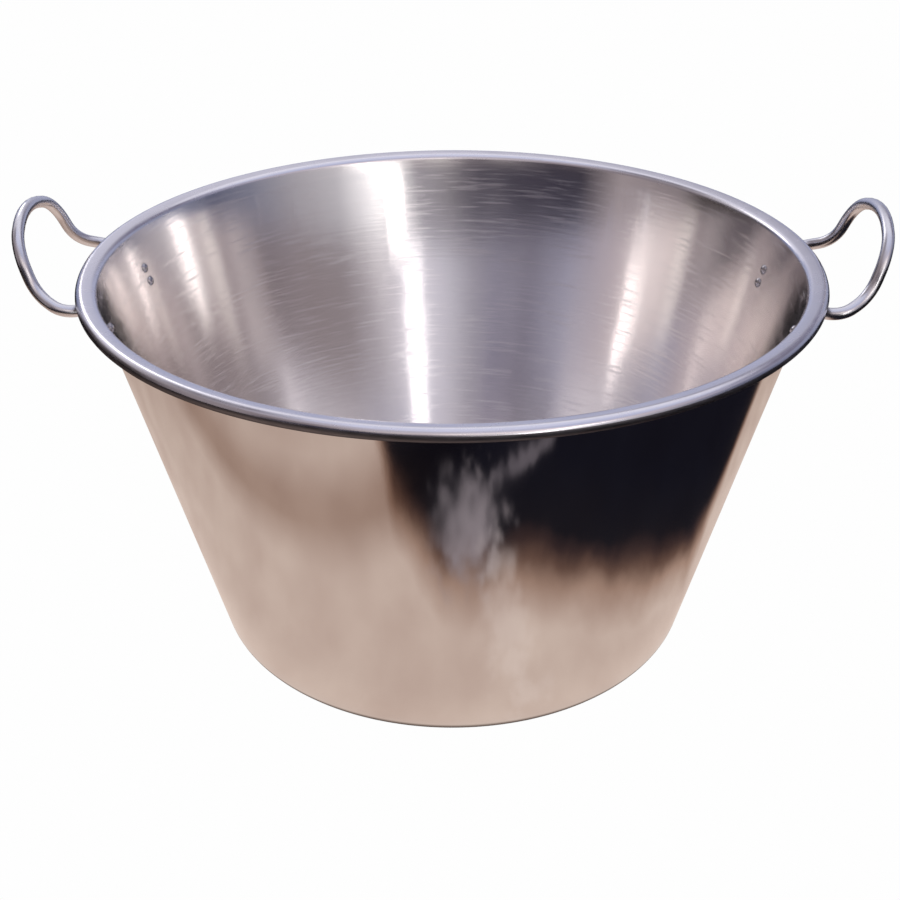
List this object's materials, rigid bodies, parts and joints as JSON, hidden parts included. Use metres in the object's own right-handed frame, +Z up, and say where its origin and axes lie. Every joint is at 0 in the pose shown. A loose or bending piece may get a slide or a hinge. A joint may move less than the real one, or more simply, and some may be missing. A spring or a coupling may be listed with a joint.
{
  "type": "cauldron",
  "caption": "Wide tapered stainless steel cauldron with a wire-rolled rim and two upright rod loop handles riveted under the rim.",
  "frame": {"origin": "centre of the flat underside of the base", "axes": "+Z up along the bowl's axis, +X towards the right handle, +Y towards the rear; the picture looks along +Y"},
  "size_m": [0.648, 0.56, 0.3497],
  "materials": {
    "spun_sheet": "spun stainless sheet, polished with fine circumferential brushing",
    "rim_wire_steel": "drawn wire, hidden inside the rolled rim",
    "handle_rod": "polished stainless rod",
    "rivet_steel": "set stainless rivet heads"
  },
  "bodies": {
    "root": {"shell": "spun_sheet", "rim_wire": "rim_wire_steel", "handle_right": "handle_rod", "handle_left": "handle_rod", "rivet_right_front_lower": "rivet_steel", "rivet_right_front_upper": "rivet_steel", "rivet_right_rear_lower": "rivet_steel", "rivet_right_rear_upper": "rivet_steel", "rivet_left_front_lower": "rivet_steel", "rivet_left_front_upper": "rivet_steel", "rivet_left_rear_lower": "rivet_steel", "rivet_left_rear_upper": "rivet_steel"}
  },
  "joints": []
}
